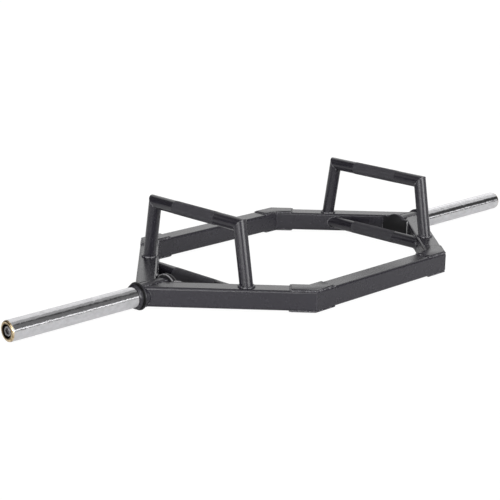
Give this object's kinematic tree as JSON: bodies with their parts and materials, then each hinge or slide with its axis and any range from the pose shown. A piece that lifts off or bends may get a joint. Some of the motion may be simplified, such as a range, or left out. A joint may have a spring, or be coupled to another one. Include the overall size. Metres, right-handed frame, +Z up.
{
  "type": "hex trap bar",
  "caption": "Hexagonal lifting bar of welded square tube with raised and low grips inside the frame and a free-turning chrome sleeve at each end for weight plates.",
  "frame": {"origin": "on the floor under the middle of the frame, when the bar's axis is level on its two collars", "axes": "+X along the bar to the right sleeve, +Y from the front rail to the back rail, +Z up"},
  "size_m": [1.808, 0.642, 0.2235],
  "materials": {
    "frame_coat": "satin black powder coat",
    "grip_coat": "satin black powder coat, knurled in the middle",
    "chrome_sleeve": "satin chrome plate",
    "brass_ring": "turned brass",
    "bronze_bush": "oiled bearing bronze",
    "plain_steel": "bright ground steel",
    "bolt_steel": "zinc plated steel"
  },
  "bodies": {
    "frame": {"front_rail": "frame_coat", "back_rail": "frame_coat", "front_left_arm": "frame_coat", "front_left_post": "frame_coat", "front_left_bottom_plate": "frame_coat", "front_left_top_plate": "frame_coat", "front_right_arm": "frame_coat", "front_right_post": "frame_coat", "front_right_bottom_plate": "frame_coat", "front_right_top_plate": "frame_coat", "back_left_arm": "frame_coat", "back_left_post": "frame_coat", "back_left_bottom_plate": "frame_coat", "back_left_top_plate": "frame_coat", "back_right_arm": "frame_coat", "back_right_post": "frame_coat", "back_right_bottom_plate": "frame_coat", "back_right_top_plate": "frame_coat", "left_raised_grip": "grip_coat", "left_low_grip": "grip_coat", "left_end_plate": "frame_coat", "left_hub_tube": "frame_coat", "left_collar": "frame_coat", "left_spindle": "plain_steel", "left_thrust_washer": "plain_steel", "left_end_washer": "plain_steel", "left_end_bolt": "bolt_steel", "right_raised_grip": "grip_coat", "right_low_grip": "grip_coat", "right_end_plate": "frame_coat", "right_hub_tube": "frame_coat", "right_collar": "frame_coat", "right_spindle": "plain_steel", "right_thrust_washer": "plain_steel", "right_end_washer": "plain_steel", "right_end_bolt": "bolt_steel"},
    "left_sleeve": {"left_sleeve": "chrome_sleeve", "left_inner_bush": "bronze_bush", "left_outer_bush": "brass_ring"},
    "right_sleeve": {"right_sleeve": "chrome_sleeve", "right_inner_bush": "bronze_bush", "right_outer_bush": "brass_ring"}
  },
  "joints": [
    {"name": "left_sleeve_spin", "type": "hinge", "parent": "frame", "child": "left_sleeve", "pos_m": [-0.722, 0, 0.0345], "axis": [1, 0, 0], "continuous": true},
    {"name": "right_sleeve_spin", "type": "hinge", "parent": "frame", "child": "right_sleeve", "pos_m": [0.722, 0, 0.0345], "axis": [1, 0, 0], "continuous": true}
  ]
}
